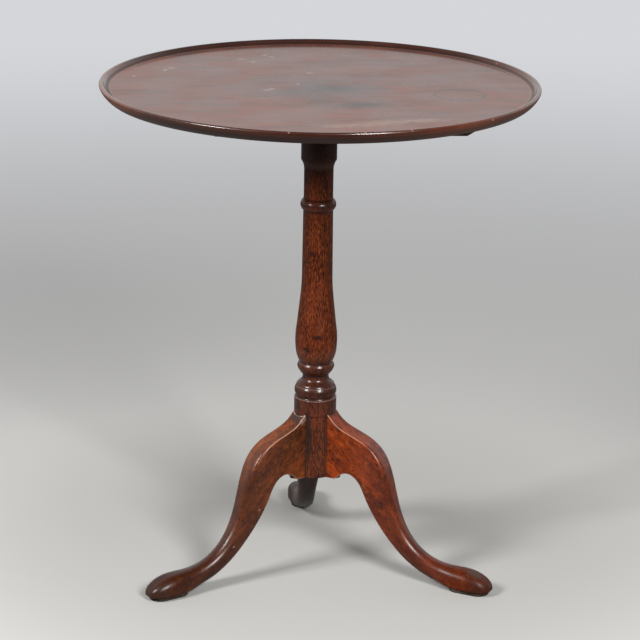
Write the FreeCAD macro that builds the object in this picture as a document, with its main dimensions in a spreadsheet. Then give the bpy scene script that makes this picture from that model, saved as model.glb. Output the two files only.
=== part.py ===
import FreeCAD, Part

import math
import os
import re

import Sketcher

# Tilting tray top table: a dished round top on two bearers, hinged to a block on a turned pillar
# with three carved legs.
# Millimetres, +Z up, origin on the floor under the pillar's axis, the back leg along +Y.
doc = FreeCAD.newDocument("tray_top_table")
sheet = doc.addObject("Spreadsheet::Sheet", "Sizes")

SIZES = {
    # whole table
    "table_height": 716,
    # tray top: flat field inside a raised moulded rim
    "top_radius": 308,
    "rim_height": 17,
    "rim_width": 15.5,
    "field_thickness": 10.5,
    "edge_undercut": 11.5,
    "edge_belly_inset": 4.3,
    "edge_belly_height": 6.8,
    "lip_height": 2.4,
    "crest_inset": 3.9,
    "crest_width": 6.4,
    "crest_drop": 0.8,
    "cove_inset": 10.5,
    "cove_rise": 1.6,
    # bearers: two battens on edge, with chamfered ends
    "bearer_depth": 36,
    "bearer_width": 22,
    "bearer_left": 180,
    "bearer_right": 225,
    "bearer_end_depth": 18,
    "bearer_chamfer": 30,
    "bearer_screw_inset": 45,
    "bearer_screw_length": 30,
    "bearer_screw_bite": 6.5,
    # tilt block and its two pivot pins
    "block_width": 161.4,
    "block_left": 72,
    "block_thickness": 36,
    "block_chamfer": 8,
    "pivot_offset": 55,
    "pin_radius": 8,
    "pin_root": 45,
    "pin_reach": 15.5,
    "pin_clearance": 0.06,
    "pin_end_gap": 0.5,
    "side_gap": 0.3,
    "rest_gap": 0.3,
    # pillar, from its foot to its head
    "pillar_foot": 139.5,
    "seat_radius": 28,
    "seat_length": 93.5,
    "drum_radius": 30.4,
    "drum_length": 23.3,
    "groove_radius": 28.3,
    "groove_length": 2.6,
    "torus_radius": 30.2,
    "torus_edge_radius": 27.9,
    "torus_length": 14.3,
    "ovolo_radius": 22.6,
    "ovolo_length": 6.4,
    "ovolo_bulge": 1.3,
    "scotia_radius": 18.9,
    "scotia_length": 11.4,
    "ring_foot_radius": 19.6,
    "ring_radius": 26.7,
    "ring_rise": 11.4,
    "ring_fall": 6.8,
    "ring_bulge": 1.2,
    "vase_foot_radius": 23.5,
    "vase_foot_length": 17.4,
    "vase_foot_bulge": 1,
    "vase_hip_radius": 29.2,
    "vase_radius": 30,
    "vase_belly_length": 39,
    "vase_shoulder_radius": 28.1,
    "vase_taper_length": 37,
    "vase_throat_radius": 24.1,
    "vase_throat_length": 43,
    "vase_throat_bulge": 0.7,
    "shaft_length": 88.1,
    "shaft_radius": 21.8,
    "shaft_top_radius": 21.2,
    "bead_foot_length": 0.8,
    "bead_foot_radius": 21.6,
    "bead_radius": 25.4,
    "bead_length": 16.2,
    "neck_radius": 20.8,
    "neck_length": 43.3,
    "flare_length": 13.6,
    "flare_bulge": 1.1,
    "collar_radius": 25.3,
    "collar_length": 56.9,
    "tenon_radius": 19,
    # wedge in the tenon
    "wedge_depth": 26,
    "wedge_head": 5,
    "wedge_tip": 1.5,
    # dovetails of the legs
    "tail_depth": 12,
    "tail_root_width": 14,
    "tail_width": 19,
    "tail_length": 80,
    # soles under the feet
    "sole_thickness": 6,
    "sole_width": 31,
    "sole_heel_reach": 218,
    "sole_toe_reach": 277,
    # the leg where it leaves the pillar
    "root_inset": 6,
    "root_rise": 8,
    "seat_reach": 38,
    "seat_drop": 9.7,
    "seat_flat": 40,
    "root_width": 30,
    "root_round": 1.5,
    # brace plate under the pillar
    "brace_thickness": 2,
    "brace_radius": 24,
    "brace_arm_reach": 41,
    "brace_arm_width": 16,
    "brace_hub_screw_circle": 19.5,
    "brace_arm_screw_reach": 34.5,
    "brace_screw_length": 16,
    # catch under the top: case, bolt, knob and spring
    "nose_gap": 2,
    "bolt_throw": 8,
    "bolt_length": 34,
    "bolt_width": 16,
    "bolt_depth": 8,
    "bolt_bevel": 6,
    "bolt_clearance": 0.2,
    "case_gap": 3,
    "case_plate": 2.2,
    "case_floor": 2,
    "case_side": 4,
    "case_rear": 3,
    "case_flange": 10,
    "spring_length": 14,
    "spring_depth": 6,
    "spring_strip": 1.2,
    "spring_fold": 1.8,
    "catch_screw_inset": 9,
    "catch_screw_length": 8,
    "knob_offset": 16,
    "knob_stem_radius": 2.6,
    "knob_stem_root": 6,
    "knob_slot_gap": 0.4,
    "knob_neck_length": 4,
    "knob_radius": 6.5,
    "knob_flare": 2.5,
    # keeper let into the block
    "keeper_thickness": 1.8,
    "keeper_length": 22,
    "keeper_width": 40,
    "keeper_screw_inset": 6,
    "keeper_screw_length": 14,
    "mortise_depth": 10,
    "mortise_gap": 0.5,
    # screws
    "screw_shank_radius": 2.1,
    "screw_head_radius": 4.2,
    "small_shank_radius": 1.5,
    "small_head_radius": 3,
    "screw_slot_width": 0.9,
    "screw_slot_depth": 0.9,
}

# Carved leg, section by section from the pillar to the toe: reach and height of its top line, reach and height
# of its under line, width across, and the rounding of its upper and lower edges.
LEG_COLUMNS = ("top_reach", "top_height", "under_reach", "under_height", "width", "top_round", "under_round")
LEG = {
    "crook": (57, 212.5, 54, 149.5, 30, 1.6, 1.6),
    "shelf": (80, 203, 68, 147.3, 30.5, 2.2, 1.8),
    "knee_top": (99.5, 190.5, 79.5, 136, 32, 4.5, 2.2),
    "knee": (114.5, 169.5, 88.5, 117.5, 33, 7.5, 3),
    "shin_top": (123, 146, 96, 102, 33, 9.5, 4.5),
    "shin": (132, 115, 107.5, 81.5, 31, 11, 6.5),
    "ankle_top": (145.5, 81.5, 125.5, 56.5, 28, 11, 8.5),
    "ankle": (165.5, 55, 150, 33, 27, 10.5, 9),
    "instep": (191.5, 39, 183, 14.5, 28, 11, 9),
    "heel": (214, 34, 210, 6.5, 31.5, 13, 7),
    "foot": (232, 33, 229, 1, 37, 15, 3),
    "ball": (250, 31, 250, 0, 39.5, 14.5, 3),
    "toe_root": (266, 25.5, 266, 0, 36, 12, 3),
    "toe": (277, 18, 277, 0, 26, 7.5, 3),
    "tip": (281.5, 12.5, 281.5, 0, 14, 4, 3),
}
for section, measures in LEG.items():
    for column, measure in zip(LEG_COLUMNS, measures):
        SIZES[f"{section}_{column}"] = measure

for row, (name, measure) in enumerate(SIZES.items(), start=1):
    sheet.set(f"A{row}", name)
    sheet.set(f"B{row}", str(measure))
    sheet.setAlias(f"B{row}", name)
doc.recompute()

# Levels and faces that several pieces share
UNDERSIDE = "(table_height - rim_height)"
FIELD = f"({UNDERSIDE} + field_thickness)"
PIVOT_HEIGHT = f"({UNDERSIDE} - bearer_depth / 2)"
BLOCK_TOP = f"({UNDERSIDE} - rest_gap)"
BLOCK_FOOT = f"({UNDERSIDE} - block_thickness)"
BLOCK_ROUND = "(bearer_depth / 2 - rest_gap)"
BEARER_IN = "(block_width / 2 + side_gap)"
SHOULDER = "(pillar_foot + seat_length)"
KEEPER_FOOT = f"({BLOCK_TOP} - keeper_thickness)"
CASE_TOP = f"({UNDERSIDE} - case_plate)"
BOLT_TOP = f"({CASE_TOP} - bolt_clearance)"
BOLT_FOOT = f"({BOLT_TOP} - bolt_depth)"
CASE_FLOOR = f"({BOLT_FOOT} - bolt_clearance)"
BOLT_NOSE = "(-block_left - nose_gap)"
BOLT_BACK = f"({BOLT_NOSE} - bolt_length)"
CASE_FRONT = "(-block_left - case_gap)"
CASE_CHANNEL_END = f"({BOLT_BACK} - spring_length)"
CASE_BACK = f"({CASE_CHANNEL_END} - case_rear)"
CASE_HALF = "(bolt_width / 2 + bolt_clearance + case_side)"
KNOB_PLACE = f"({BOLT_NOSE} - knob_offset)"
LEG_TURNS = {"back": 90, "left": 210, "right": 330}
# Degrees from a leg to midway between it and the next, and how far an arc's middle lies along each axis
MIDWAY = 60
DIAGONAL = math.sqrt(0.5)


def cells(expression):
    """The expression with every size read from its cell."""
    return re.sub(r"[a-z_]+", lambda word: f"Sizes.{word[0]}" if word[0] in SIZES else word[0], expression)


def size(expression):
    """The expression's value in millimetres."""
    return float(sheet.evalExpression(cells(expression)))


def point(across, along, up):
    return FreeCAD.Vector(size(across), size(along), size(up))


def bind(thing, **expressions):
    """Bind properties of an object to the sheet; x, y and z are its place."""
    for name, expression in expressions.items():
        path = f"Placement.Base.{name}" if name in "xyz" else name
        thing.setExpression(path, cells(expression))
    return thing


def sketch_on(body, role, offset="0"):
    """A sketch on one of the body's own origin planes, set off along the plane's normal."""
    plane = [feature for feature in body.Origin.OriginFeatures if feature.Role == role][0]
    sketch = body.newObject("Sketcher::SketchObject", f"{body.Name}_outline")
    sketch.AttachmentSupport = [(plane, "")]
    sketch.MapMode = "FlatFace"
    sketch.setExpression("AttachmentOffset.Base.z", cells(offset))
    return sketch


def draw(sketch, outline):
    """Draw a closed outline. Each corner is (across, up); two more values bow the edge to it through a point."""
    constraints = []
    expressions = {}

    def pin(geometry, end, across, up):
        for kind, axis, expression in (("DistanceX", -2, across), ("DistanceY", -1, up)):
            if expression == "0":
                constraints.append(Sketcher.Constraint("PointOnObject", geometry, end, axis))
            else:
                expressions[len(constraints)] = cells(expression)
                constraints.append(Sketcher.Constraint(kind, -1, 1, geometry, end, size(expression)))

    ends = []
    for index, corner in enumerate(outline):
        start = point(*outline[index - 1][:2], "0")
        end = point(*corner[:2], "0")
        if len(corner) == 2:
            geometry = sketch.addGeometry(Part.LineSegment(start, end))
        else:
            through = point(*corner[2:], "0")
            geometry = sketch.addGeometry(Part.Arc(start, through, end))
            mark = sketch.addGeometry(Part.Point(through), True)
            pin(mark, 1, *corner[2:])
            constraints.append(Sketcher.Constraint("PointOnObject", mark, 1, geometry))
        from_start = sketch.getPoint(geometry, 1).distanceToPoint(start)
        from_end = sketch.getPoint(geometry, 1).distanceToPoint(end)
        first, last = (1, 2) if from_start < from_end else (2, 1)
        pin(geometry, last, *corner[:2])
        ends.append((geometry, first, last))
    for index, (geometry, first, last) in enumerate(ends):
        before, _, before_last = ends[index - 1]
        constraints.append(Sketcher.Constraint("Coincident", before, before_last, geometry, first))
    sketch.addConstraint(constraints)
    for index, expression in expressions.items():
        sketch.setExpression(f"Constraints[{index}]", expression)
    return sketch


def turned(name, outline):
    """A piece turned about Z from an outline of (radius, height) corners."""
    body = doc.addObject("PartDesign::Body", name)
    sketch = draw(sketch_on(body, "XZ_Plane"), outline)
    turning = body.newObject("PartDesign::Revolution", f"{name}_turning")
    turning.Profile = sketch
    turning.ReferenceAxis = (sketch, ["V_Axis"])
    turning.Angle = 360
    return body


def board(name, role, outline, thickness, offset="0", midplane=False):
    """A piece sawn to an outline and as thick as asked."""
    body = doc.addObject("PartDesign::Body", name)
    sketch = draw(sketch_on(body, role, offset), outline)
    pad = body.newObject("PartDesign::Pad", f"{name}_thickness")
    pad.Profile = sketch
    pad.SideType = "Symmetric" if midplane else "One side"
    pad.setExpression("Length", cells(thickness))
    return body


def block(name, low, high):
    """A squared piece between two corners."""
    box = doc.addObject("Part::Box", name)
    spans = (f"({end}) - ({start})" for start, end in zip(low, high))
    bind(box, **dict(zip(("Length", "Width", "Height"), spans)))
    return bind(box, **dict(zip("xyz", low)))


def rod(name, radius, length, start, axis=(0, 0, 1)):
    """A round bar from its start along an axis."""
    bar = doc.addObject("Part::Cylinder", name)
    bind(bar, Radius=radius, Height=length)
    bar.Placement.Rotation = FreeCAD.Rotation(FreeCAD.Vector(0, 0, 1), FreeCAD.Vector(*axis))
    return bind(bar, **dict(zip("xyz", start)))


def fuse(name, pieces):
    joined = doc.addObject("Part::MultiFuse", name)
    joined.Shapes = pieces
    return joined


def cut(name, base, tools):
    """The base with one tool, or several tools together, taken out of it."""
    hollow = doc.addObject("Part::Cut", name)
    hollow.Base = base
    hollow.Tool = tools[0] if len(tools) == 1 else fuse(f"{name}_hollows", tools)
    return hollow


def solid_feature(name, shape):
    feature = doc.addObject("Part::Feature", name)
    feature.Shape = shape
    return feature


def screws(name, places, gauge, length, points_up=False, access="0"):
    """A group of slotted countersunk screws, and the holes that they fill, with access for a driver."""
    head_radius = size(f"{gauge}_head_radius")
    shank_radius = size(f"{gauge}_shank_radius")
    head_depth = head_radius - shank_radius
    tip_depth = 2 * shank_radius
    shank_end = size(length) - tip_depth
    profile = [
        FreeCAD.Vector(0, 0, 0),
        FreeCAD.Vector(head_radius, 0, 0),
        FreeCAD.Vector(shank_radius, 0, -head_depth),
        FreeCAD.Vector(shank_radius, 0, -shank_end),
        FreeCAD.Vector(0, 0, -size(length)),
        FreeCAD.Vector(0, 0, 0),
    ]
    plain = Part.Face(Part.makePolygon(profile)).revolve(FreeCAD.Vector(), FreeCAD.Vector(0, 0, 1), 360)
    slot_width = size("screw_slot_width")
    slot_depth = size("screw_slot_depth")
    slot_corner = FreeCAD.Vector(-head_radius, -slot_width / 2, -slot_depth)
    slotted = plain.cut(Part.makeBox(2 * head_radius, slot_width, slot_depth, slot_corner))
    way_in = plain
    if size(access) > 0:
        way_in = plain.fuse(Part.makeCylinder(head_radius, size(access)))
    turn = FreeCAD.Rotation(FreeCAD.Vector(1, 0, 0), 180 if points_up else 0)
    group = []
    holes = []
    for place in places:
        placement = FreeCAD.Placement(place, turn)
        group.append(slotted.transformed(placement.Matrix, True))
        holes.append(way_in.transformed(placement.Matrix, True))
    fasteners = solid_feature(name, Part.makeCompound(group))
    return fasteners, solid_feature(f"{name}_holes", Part.makeCompound(holes))


def around(reach, turn, up):
    """A point at a reach from the pillar's axis, turned about it."""
    angle = math.radians(turn)
    return FreeCAD.Vector(reach * math.cos(angle), reach * math.sin(angle), up)


# Tray top, turned from one board: undercut edge, rounded crest, cove and flat field
tray_board = turned("tray_board", [
    ("0", UNDERSIDE),
    ("top_radius - edge_undercut", UNDERSIDE),
    ("top_radius", "table_height - lip_height",
     "top_radius - edge_belly_inset", f"{UNDERSIDE} + edge_belly_height"),
    ("top_radius - crest_width", "table_height - crest_drop",
     "top_radius - crest_inset", "table_height"),
    ("top_radius - rim_width", FIELD, "top_radius - cove_inset", f"{FIELD} + cove_rise"),
    ("0", FIELD),
])

# Bearers on either side of the block, chamfered towards their ends
BEARER_FOOT = f"({UNDERSIDE} - bearer_depth)"
BEARER_END = f"({UNDERSIDE} - bearer_end_depth)"
bearer_outline = [
    ("-bearer_left", UNDERSIDE),
    ("-bearer_left", BEARER_END),
    ("-bearer_left + bearer_chamfer", BEARER_FOOT),
    ("bearer_right - bearer_chamfer", BEARER_FOOT),
    ("bearer_right", BEARER_END),
    ("bearer_right", UNDERSIDE),
]
bearer_boards = {
    "front": board("bearer_front_board", "XZ_Plane", bearer_outline, "bearer_width", BEARER_IN),
    "back": board("bearer_back_board", "XZ_Plane", bearer_outline, "bearer_width",
                  f"-{BEARER_IN} - bearer_width"),
}
LEFT_SCREW = "(-bearer_left + bearer_screw_inset)"
RIGHT_SCREW = "(bearer_right - bearer_screw_inset)"
bearer_screw_rows = (
    LEFT_SCREW,
    f"({LEFT_SCREW} + pivot_offset) / 2",
    f"({RIGHT_SCREW} + pivot_offset) / 2",
    RIGHT_SCREW,
)
BEARER_SCREW_HEAD = f"({UNDERSIDE} + bearer_screw_bite - bearer_screw_length)"
bearer_screw_places = [
    point(across, f"{side} * ({BEARER_IN} + bearer_width / 2)", BEARER_SCREW_HEAD)
    for side in (-1, 1) for across in bearer_screw_rows
]
bearer_screws, bearer_screw_holes = screws(
    "bearer_screws", bearer_screw_places, "screw", "bearer_screw_length", points_up=True,
    access=f"{BEARER_SCREW_HEAD} - {BEARER_FOOT}")

# Pivot pins, glued into the block and turning in blind bores of the bearers
pins = []
bores = {}
for side, direction in (("front", -1), ("back", 1)):
    root = ("pivot_offset", f"{direction} * (block_width / 2 - pin_root)", PIVOT_HEIGHT)
    pins.append(rod(f"pin_{side}", "pin_radius", "pin_root + side_gap + pin_reach", root, (0, direction, 0)))
    mouth = ("pivot_offset", f"{direction} * block_width / 2", PIVOT_HEIGHT)
    bores[side] = rod(f"bore_{side}", "pin_radius + pin_clearance", "side_gap + pin_reach + pin_end_gap", mouth,
                      (0, direction, 0))
pivot_pins = doc.addObject("Part::Compound", "pivot_pins")
pivot_pins.Links = pins
bearers = {
    side: cut(f"bearer_{side}", bearer_boards[side], [bearer_screw_holes, bores[side]]) for side in bores
}

# Pillar, turned with its tenon. The mouldings keep their size, and the long members between them
# stretch together to take up the table's height.
MOULDINGS = ("(drum_length + groove_length + torus_length + ovolo_length + scotia_length + ring_rise"
             " + ring_fall + vase_foot_length + bead_foot_length + bead_length + flare_length)")
LONG_MEMBERS = ("(vase_belly_length + vase_taper_length + vase_throat_length + shaft_length"
                " + neck_length + collar_length)")
STRETCH = f"(({BLOCK_FOOT} - {SHOULDER} - {MOULDINGS}) / {LONG_MEMBERS})"
DRUM_TOP = f"({SHOULDER} + drum_length)"
TORUS_FOOT = f"({DRUM_TOP} + groove_length)"
TORUS_TOP = f"({TORUS_FOOT} + torus_length)"
OVOLO_TOP = f"({TORUS_TOP} + ovolo_length)"
RING_FOOT = f"({OVOLO_TOP} + scotia_length)"
RING_MIDDLE = f"({RING_FOOT} + ring_rise)"
VASE_FOOT = f"({RING_MIDDLE} + ring_fall)"
VASE_HIP = f"({VASE_FOOT} + vase_foot_length)"
VASE_SHOULDER = f"({VASE_HIP} + vase_belly_length * {STRETCH})"
VASE_THROAT = f"({VASE_SHOULDER} + vase_taper_length * {STRETCH})"
SHAFT_FOOT = f"({VASE_THROAT} + vase_throat_length * {STRETCH})"
COLLAR_FOOT = f"({BLOCK_FOOT} - collar_length * {STRETCH})"
NECK_TOP = f"({COLLAR_FOOT} - flare_length)"
BEAD_TOP = f"({NECK_TOP} - neck_length * {STRETCH})"
BEAD_FOOT = f"({BEAD_TOP} - bead_length)"
SHAFT_TOP = f"({BEAD_FOOT} - bead_foot_length)"
pillar_turning = turned("pillar_turning", [
    ("0", "pillar_foot"),
    ("seat_radius", "pillar_foot"),
    ("seat_radius", SHOULDER),
    ("drum_radius", SHOULDER),
    ("drum_radius", DRUM_TOP),
    ("torus_edge_radius", TORUS_FOOT, "groove_radius", f"{DRUM_TOP} + groove_length / 2"),
    ("torus_edge_radius", TORUS_TOP, "torus_radius", f"{TORUS_FOOT} + torus_length / 2"),
    ("ovolo_radius", OVOLO_TOP,
     "(torus_edge_radius + ovolo_radius) / 2 + ovolo_bulge", f"{TORUS_TOP} + ovolo_length / 2"),
    ("ring_foot_radius", RING_FOOT, "scotia_radius", f"{OVOLO_TOP} + scotia_length / 2"),
    ("ring_radius", RING_MIDDLE,
     "(ring_foot_radius + ring_radius) / 2 + ring_bulge", f"{RING_FOOT} + ring_rise / 2"),
    ("vase_foot_radius", VASE_FOOT,
     "(ring_radius + vase_foot_radius) / 2 + ring_bulge / 2", f"{RING_MIDDLE} + ring_fall / 2"),
    ("vase_hip_radius", VASE_HIP,
     "(vase_foot_radius + vase_hip_radius) / 2 + vase_foot_bulge", f"{VASE_FOOT} + vase_foot_length / 2"),
    ("vase_shoulder_radius", VASE_SHOULDER, "vase_radius", f"({VASE_HIP} + {VASE_SHOULDER}) / 2"),
    ("vase_throat_radius", VASE_THROAT),
    ("shaft_radius", SHAFT_FOOT,
     "(vase_throat_radius + shaft_radius) / 2 - vase_throat_bulge", f"({VASE_THROAT} + {SHAFT_FOOT}) / 2"),
    ("shaft_top_radius", SHAFT_TOP),
    ("bead_foot_radius", BEAD_FOOT),
    ("neck_radius", BEAD_TOP, "bead_radius", f"{BEAD_FOOT} + bead_length / 2"),
    ("neck_radius", NECK_TOP),
    ("collar_radius", COLLAR_FOOT,
     "(neck_radius + collar_radius) / 2 - flare_bulge", f"{NECK_TOP} + flare_length / 2"),
    ("collar_radius", BLOCK_FOOT),
    ("tenon_radius", BLOCK_FOOT),
    ("tenon_radius", BLOCK_TOP),
    ("0", BLOCK_TOP),
])

# Dovetail of a leg, lying along +X, and its socket at each of the three legs
TAIL_TIP = "(seat_radius - tail_depth)"
tail_outline = [
    (TAIL_TIP, "-tail_width / 2"),
    ("seat_radius", "-tail_root_width / 2"),
    ("seat_reach", "-tail_root_width / 2"),
    ("seat_reach", "tail_root_width / 2"),
    ("seat_radius", "tail_root_width / 2"),
    (TAIL_TIP, "tail_width / 2"),
]
tail = board("dovetail", "XY_Plane", tail_outline, "tail_length", "pillar_foot")

# Wedge in the tenon's saw cut
wedge_board = board("wedge_board", "XZ_Plane", [
    ("-wedge_tip / 2", f"{BLOCK_TOP} - wedge_depth"),
    ("wedge_tip / 2", f"{BLOCK_TOP} - wedge_depth"),
    ("wedge_head / 2", BLOCK_TOP),
    ("-wedge_head / 2", BLOCK_TOP),
], "2 * tenon_radius", midplane=True)
tenon = rod("tenon", "tenon_radius", f"{BLOCK_TOP} - {BLOCK_FOOT}", ("0", "0", BLOCK_FOOT))
tenon_wedge = doc.addObject("Part::Common", "tenon_wedge")
tenon_wedge.Base = wedge_board
tenon_wedge.Tool = tenon

# Brace plate under the pillar: a hub and an arm under each leg
BRACE_FOOT = "(pillar_foot - brace_thickness)"
hub = rod("brace_hub", "brace_radius", "brace_thickness", ("0", "0", BRACE_FOOT))
arm_outline = [
    ("0", "-brace_arm_width / 2"),
    ("brace_arm_reach - brace_arm_width / 2", "-brace_arm_width / 2"),
    ("brace_arm_reach - brace_arm_width / 2", "brace_arm_width / 2", "brace_arm_reach", "0"),
    ("0", "brace_arm_width / 2"),
]
arms = []
brace_screw_places = []
for leg_name, turn in LEG_TURNS.items():
    arm = board(f"brace_arm_{leg_name}", "XY_Plane", arm_outline, "brace_thickness", BRACE_FOOT)
    arm.Placement.Rotation = FreeCAD.Rotation(FreeCAD.Vector(0, 0, 1), turn)
    arms.append(arm)
    brace_screw_places.append(around(size("brace_arm_screw_reach"), turn, size(BRACE_FOOT)))
    brace_screw_places.append(around(size("brace_hub_screw_circle"), turn + MIDWAY, size(BRACE_FOOT)))
brace_screws, brace_screw_holes = screws(
    "brace_screws", brace_screw_places, "small", "brace_screw_length", points_up=True)
doc.recompute()
brace_plate = cut("brace_plate", fuse("brace_blank", [hub] + arms), [brace_screw_holes])

sockets = []
for leg_name, turn in LEG_TURNS.items():
    socket = solid_feature(f"socket_{leg_name}", tail.Shape)
    socket.Placement = FreeCAD.Placement(FreeCAD.Vector(), FreeCAD.Rotation(FreeCAD.Vector(0, 0, 1), turn))
    sockets.append(socket)
pillar = cut("pillar", pillar_turning, sockets + [wedge_board, brace_screw_holes])


# Legs, carved from planks: a rounded section at each station, skinned from the pillar to the toe
def leg_section(top, under, width, top_round, under_round):
    """A rounded rectangle between the top line and the under line, across the leg's own plane."""
    rise = (top - under).normalize()
    side = FreeCAD.Vector(0, 1, 0)
    half = width / 2

    def at(across, base, up):
        return base + side * across + rise * up

    eased = 1 - DIAGONAL
    corners = []
    for base, radius, inward, order in ((top, top_round, -1, (1, -1)), (under, under_round, 1, (-1, 1))):
        for sign in order:
            flat = at(sign * (half - radius), base, 0)
            middle = at(sign * (half - eased * radius), base, inward * eased * radius)
            flank = at(sign * half, base, inward * radius)
            rising = (sign > 0) == (base is top)
            corners.append((flank, middle, flat) if rising else (flat, middle, flank))
    edges = []
    for index, (start, middle, end) in enumerate(corners):
        edges.append(Part.Arc(start, middle, end).toShape())
        edges.append(Part.LineSegment(end, corners[(index + 1) % 4][0]).toShape())
    return Part.Wire(edges)


def carved_leg():
    """The leg along +X, from inside the pillar's surface to the toe, with its foot cut level."""
    shoulder = size(SHOULDER)
    foot = size("pillar_foot")
    root = size("seat_radius - root_inset")
    edge = size("root_round")
    rooted = (
        (root, shoulder + size("root_rise"), root, foot),
        (size("seat_reach"), shoulder - size("seat_drop"), size("seat_flat"), foot),
    )
    sections = [
        leg_section(FreeCAD.Vector(top_reach, 0, top_height), FreeCAD.Vector(under_reach, 0, under_height),
                    size("root_width"), edge, edge)
        for top_reach, top_height, under_reach, under_height in rooted
    ]
    for station in LEG:
        top_reach, top_height, under_reach, under_height, width, top_round, under_round = (
            size(f"{station}_{column}") for column in LEG_COLUMNS)
        top = FreeCAD.Vector(top_reach, 0, top_height)
        under = FreeCAD.Vector(under_reach, 0, under_height)
        sections.append(leg_section(top, under, width, top_round, under_round))
    return Part.makeLoft(sections, True, False)


reach = 2 * size("tip_top_reach")
below_sole = Part.makeBox(2 * reach, 2 * reach, reach,
                          FreeCAD.Vector(-reach, -reach, size("sole_thickness") - reach))
below_pillar = Part.makeBox(size("seat_flat"), reach, size("pillar_foot"), FreeCAD.Vector(0, -reach / 2, 0))
seat = Part.makeCylinder(size("seat_radius"), size(SHOULDER))
drum = Part.makeCylinder(size("drum_radius"), reach, FreeCAD.Vector(0, 0, size(SHOULDER)))
leg_shape = carved_leg().cut(below_sole).cut(below_pillar).cut(seat.fuse(drum))
leg_shape = leg_shape.fuse(tail.Shape).removeSplitter()

# Soles: pads with round ends, glued under the feet
HEEL_END = "(sole_heel_reach + sole_width / 2)"
TOE_START = "(sole_toe_reach - sole_width / 2)"
sole_outline = [
    (HEEL_END, "-sole_width / 2", "sole_heel_reach", "0"),
    (TOE_START, "-sole_width / 2"),
    (TOE_START, "sole_width / 2", "sole_toe_reach", "0"),
    (HEEL_END, "sole_width / 2"),
]
legs = {}
soles = {}
for leg_name, turn in LEG_TURNS.items():
    place = FreeCAD.Placement(FreeCAD.Vector(), FreeCAD.Rotation(FreeCAD.Vector(0, 0, 1), turn))
    leg_blank = solid_feature(f"leg_{leg_name}_blank", leg_shape)
    leg_blank.Placement = place
    legs[leg_name] = cut(f"leg_{leg_name}", leg_blank, [brace_screw_holes])
    soles[leg_name] = board(f"sole_{leg_name}", "XY_Plane", sole_outline, "sole_thickness")
    soles[leg_name].Placement = place

# Keeper, let flush into the block's head at the catch end
KEEPER_END = "(-block_left + keeper_length)"
keeper_blank = block("keeper_blank", ("-block_left", "-keeper_width / 2", KEEPER_FOOT),
                     (KEEPER_END, "keeper_width / 2", BLOCK_TOP))
keeper_screw_places = [
    point(f"{KEEPER_END} - keeper_screw_inset", f"{side} * (keeper_width / 2 - keeper_screw_inset)", BLOCK_TOP)
    for side in (-1, 1)
]
keeper_screws, keeper_screw_holes = screws("keeper_screws", keeper_screw_places, "small", "keeper_screw_length")
keeper_plate = cut("keeper_plate", keeper_blank, [keeper_screw_holes])

# Tilt block: rounded over the pivot so that the top can turn, square below it so that the top stops upright
BLOCK_END = f"(pivot_offset + {BLOCK_ROUND})"
ROUND_MIDDLE = f"{BLOCK_ROUND} * {DIAGONAL}"
block_board = board("block_board", "XZ_Plane", [
    ("-block_left + block_chamfer", BLOCK_FOOT),
    (BLOCK_END, BLOCK_FOOT),
    (BLOCK_END, PIVOT_HEIGHT),
    ("pivot_offset", BLOCK_TOP, f"pivot_offset + {ROUND_MIDDLE}", f"{PIVOT_HEIGHT} + {ROUND_MIDDLE}"),
    ("-block_left", BLOCK_TOP),
    ("-block_left", f"{BLOCK_FOOT} + block_chamfer"),
], "block_width", midplane=True)
MORTISE_HALF = "(bolt_width / 2 + mortise_gap)"
mortise = block("mortise", ("-block_left", f"-{MORTISE_HALF}", f"{BOLT_FOOT} - mortise_gap"),
                ("-block_left + mortise_depth", MORTISE_HALF, BLOCK_TOP))
tilt_block = cut("tilt_block", block_board, [tenon, mortise, keeper_blank, keeper_screw_holes] + pins)

# Catch case: a plate screwed to the underside and a box below it that guides the bolt
CASE_WIDE = f"({CASE_HALF} + case_flange)"
CASE_FOOT = f"({CASE_FLOOR} - case_floor)"
CHANNEL_HALF = "(bolt_width / 2 + bolt_clearance)"
SLOT_HALF = "(knob_stem_radius + knob_slot_gap)"
plate = block("case_plate_blank", (CASE_BACK, f"-{CASE_WIDE}", CASE_TOP), (CASE_FRONT, CASE_WIDE, UNDERSIDE))
box = block("case_box", (CASE_BACK, f"-{CASE_HALF}", CASE_FOOT), (CASE_FRONT, CASE_HALF, CASE_TOP))
channel = block("case_channel", (CASE_CHANNEL_END, f"-{CHANNEL_HALF}", CASE_FLOOR),
                (CASE_FRONT, CHANNEL_HALF, CASE_TOP))
knob_slot = block("case_knob_slot", (f"{KNOB_PLACE} - {SLOT_HALF}", f"-{SLOT_HALF}", CASE_FOOT),
                  (f"{KNOB_PLACE} + bolt_throw + {SLOT_HALF}", SLOT_HALF, CASE_FLOOR))
catch_screw_places = [
    point(across, f"{side} * ({CASE_HALF} + case_flange / 2)", CASE_TOP)
    for across in (f"{CASE_FRONT} - catch_screw_inset", f"{CASE_BACK} + catch_screw_inset") for side in (-1, 1)
]
catch_screws, catch_screw_holes = screws(
    "catch_screws", catch_screw_places, "small", "catch_screw_length", points_up=True)
catch_case = cut("catch_case", fuse("case_blank", [plate, box]), [channel, knob_slot, catch_screw_holes])
tray_top = cut("tray_top", tray_board, [bearer_screw_holes, catch_screw_holes])

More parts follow.
